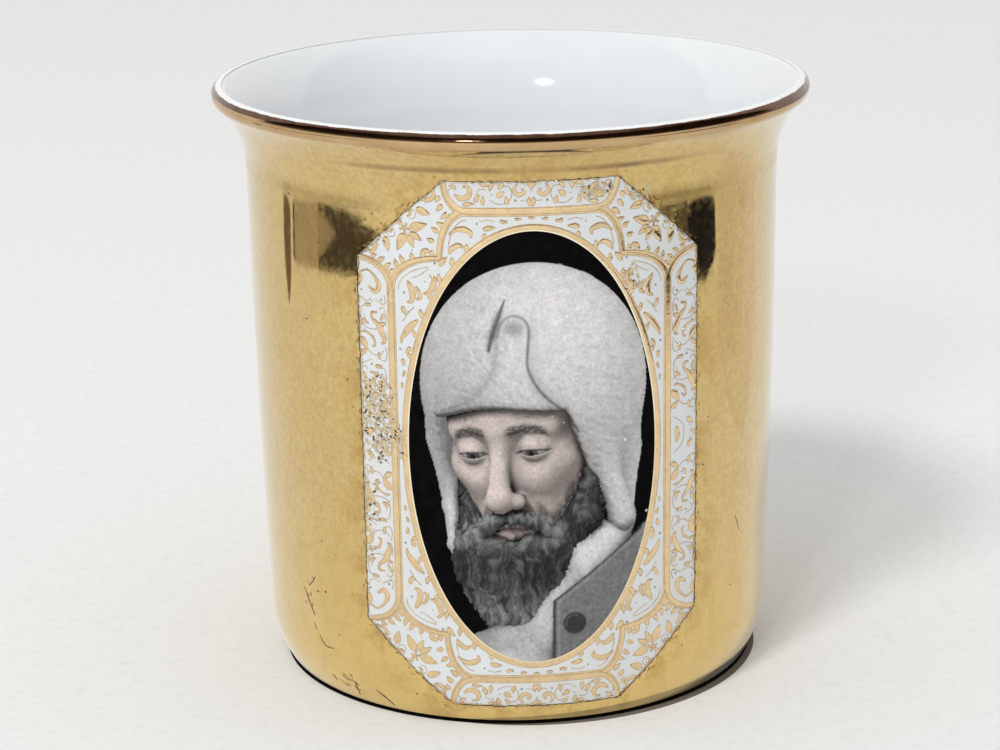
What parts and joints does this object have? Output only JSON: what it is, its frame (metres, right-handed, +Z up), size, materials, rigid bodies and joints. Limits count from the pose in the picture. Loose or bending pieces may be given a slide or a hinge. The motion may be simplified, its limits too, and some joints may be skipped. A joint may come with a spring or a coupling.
{
  "type": "arabic coffee cup",
  "caption": "Small flared porcelain coffee cup without a handle, gilded outside, with an eight-sided ornamental panel round an oval portrait.",
  "frame": {"origin": "centre of the foot ring's face, which is also the bottom centre of the box", "axes": "+Z up along the cup's axis, -Y towards the printed panel"},
  "size_m": [0.065, 0.065, 0.065],
  "materials": {
    "porcelain": "matte",
    "white_glaze": "gloss",
    "bright_gold": "polished",
    "copper_gold": "polished",
    "pale_gold": "gloss",
    "grey_print": "satin"
  },
  "bodies": {
    "root": {"porcelain_body": "porcelain", "inner_glaze": "white_glaze", "outer_glaze": "white_glaze", "base_glaze": "white_glaze", "gold_coat": "bright_gold", "lip_band": "copper_gold", "portrait_print": "grey_print", "oval_gold_line": "pale_gold", "gold_straps": "pale_gold", "border_scrolls": "pale_gold", "spandrel_scrolls": "pale_gold", "corner_leaves": "pale_gold"}
  },
  "joints": []
}
